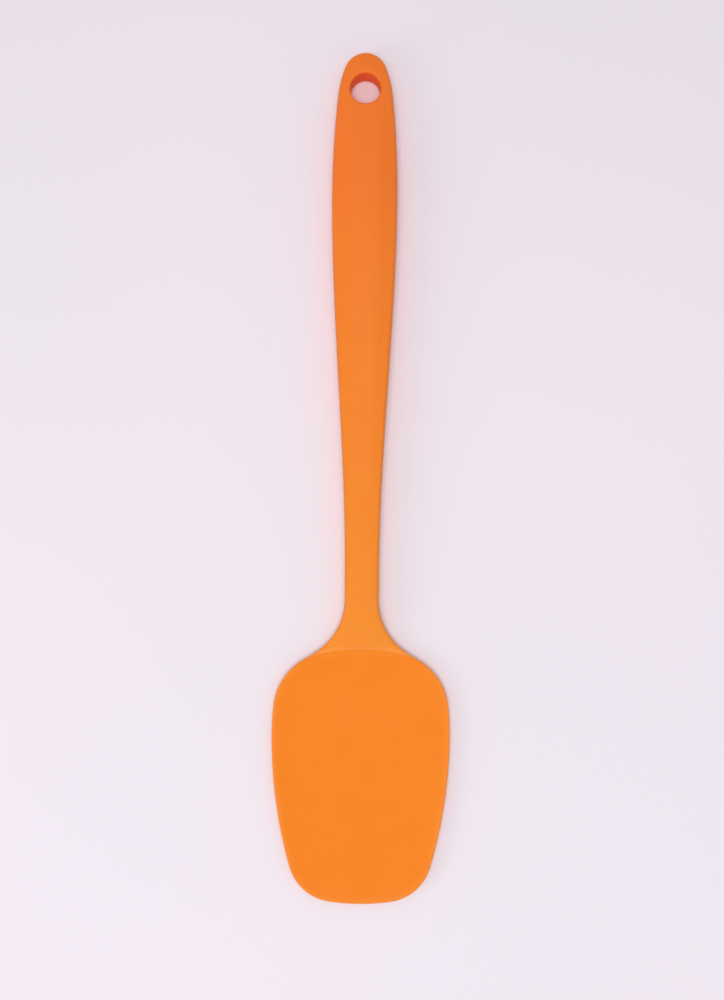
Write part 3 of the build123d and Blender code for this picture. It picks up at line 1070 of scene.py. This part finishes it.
class SPATULA_OT_silicone_skin(bpy.types.Operator):
    """Build the seamless silicone body with its hanging hole, fan and dished blade"""

    bl_idname = "spatula.silicone_skin"
    bl_label = "Silicone skin"

    def execute(self, context):
        scene = context.scene
        bm = build_skin(scene.spatula_shape, scene.spatula_mesh)
        piece = new_piece("silicone_skin", bm, silicone_material(scene.silicone_finish))
        if scene.spatula_mesh.smooth_levels:
            finish = piece.modifiers.new("smooth", "SUBSURF")
            finish.levels = scene.spatula_mesh.smooth_levels
            finish.render_levels = scene.spatula_mesh.smooth_levels
        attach(piece, "root")
        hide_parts(SKIN_NODE)
        return {"FINISHED"}


class SPATULA_OT_handle_spine(bpy.types.Operator):
    """Finish the nylon spine inside the handle"""

    bl_idname = "spatula.handle_spine"
    bl_label = "Handle spine"

    def execute(self, context):
        dress_node(SPINE_NODE, nylon_material(context.scene.core_finish))
        return {"FINISHED"}


class SPATULA_OT_blade_plate(bpy.types.Operator):
    """Finish the spring steel plate inside the blade"""

    bl_idname = "spatula.blade_plate"
    bl_label = "Blade plate"

    def execute(self, context):
        dress_node(PLATE_NODE, steel_material(context.scene.core_finish))
        return {"FINISHED"}


def area_lamp(name, place, target, size, power, tint):
    """A square soft lamp that looks at a target."""
    data = bpy.data.lights.new(name, "AREA")
    data.shape = "SQUARE"
    data.size = size
    data.energy = power
    data.color = tint
    lamp = bpy.data.objects.new(name, data)
    lamp.location = place
    lamp.rotation_euler = (Vector(target) - Vector(place)).to_track_quat("-Z", "Y").to_euler()
    bpy.context.scene.collection.objects.link(lamp)


class SPATULA_OT_stage(bpy.types.Operator):
    """Lay out the pale floor, the soft lamps and the camera straight above"""

    bl_idname = "spatula.stage"
    bl_label = "Stage"

    def execute(self, context):
        scene = context.scene
        settings = scene.stage_settings
        floor_sides = 128
        bm = bmesh.new()
        bmesh.ops.create_circle(bm, cap_ends=True, segments=floor_sides,
                                radius=settings.floor_radius)
        bmesh.ops.translate(bm, verts=bm.verts[:], vec=(0.0, 0.0, -settings.floor_gap))
        new_piece("floor", bm, floor_material(settings))

        world = bpy.data.worlds.new("soft room")
        world.use_nodes = True
        sky = world.node_tree.nodes["Background"]
        sky.inputs["Color"].default_value = (*settings.room_colour, 1.0)
        sky.inputs["Strength"].default_value = settings.room_strength
        scene.world = world
        area_lamp("window", settings.window_place, settings.lamp_target,
                  settings.window_size, settings.window_power, settings.window_tint)
        area_lamp("softbox", settings.softbox_place, settings.lamp_target,
                  settings.softbox_size, settings.softbox_power, settings.softbox_tint)

        data = bpy.data.cameras.new("camera")
        data.sensor_width = settings.sensor_width
        data.lens = settings.sensor_width * settings.camera_height / settings.view_height
        camera = bpy.data.objects.new("camera", data)
        middle = CAD_HIGH.y - settings.centre_station
        camera.location = (settings.slide, middle, settings.camera_height)
        camera.rotation_euler = (0.0, 0.0, settings.lean)
        scene.collection.objects.link(camera)
        scene.camera = camera
        scene.view_settings.view_transform = "Standard"
        return {"FINISHED"}


class SPATULA_PT_panel(bpy.types.Panel):
    """Sizes, finishes and build steps of the spatula"""

    bl_idname = "SPATULA_PT_panel"
    bl_label = "Silicone spatula"
    bl_space_type = "VIEW_3D"
    bl_region_type = "UI"
    bl_category = "Spatula"

    def draw(self, context):
        scene = context.scene
        for title, group in (("Shape", scene.spatula_shape), ("Mesh", scene.spatula_mesh),
                             ("Silicone", scene.silicone_finish), ("Cores", scene.core_finish),
                             ("Stage", scene.stage_settings)):
            box = self.layout.box()
            box.label(text=title)
            for name in group.__annotations__:
                box.prop(group, name)
        for operator in OPERATORS:
            self.layout.operator(operator.bl_idname)


GROUPS = {
    "spatula_shape": SpatulaShape,
    "spatula_mesh": SpatulaMesh,
    "silicone_finish": SiliconeFinish,
    "core_finish": CoreFinish,
    "stage_settings": StageSettings,
}
OPERATORS = (SPATULA_OT_silicone_skin, SPATULA_OT_handle_spine, SPATULA_OT_blade_plate,
             SPATULA_OT_stage)


def register():
    """Registers the property groups, operators and panel."""
    for name, group in GROUPS.items():
        bpy.utils.register_class(group)
        setattr(bpy.types.Scene, name, PointerProperty(type=group))
    for operator in OPERATORS:
        bpy.utils.register_class(operator)
    bpy.utils.register_class(SPATULA_PT_panel)


def unregister():
    """Removes what register added."""
    bpy.utils.unregister_class(SPATULA_PT_panel)
    for operator in reversed(OPERATORS):
        bpy.utils.unregister_class(operator)
    for name, group in reversed(GROUPS.items()):
        delattr(bpy.types.Scene, name)
        bpy.utils.unregister_class(group)


def main():
    """Builds everything."""
    register()
    bpy.ops.spatula.silicone_skin()
    bpy.ops.spatula.handle_spine()
    bpy.ops.spatula.blade_plate()
    bpy.ops.spatula.stage()


if __name__ == "__main__":
    main()
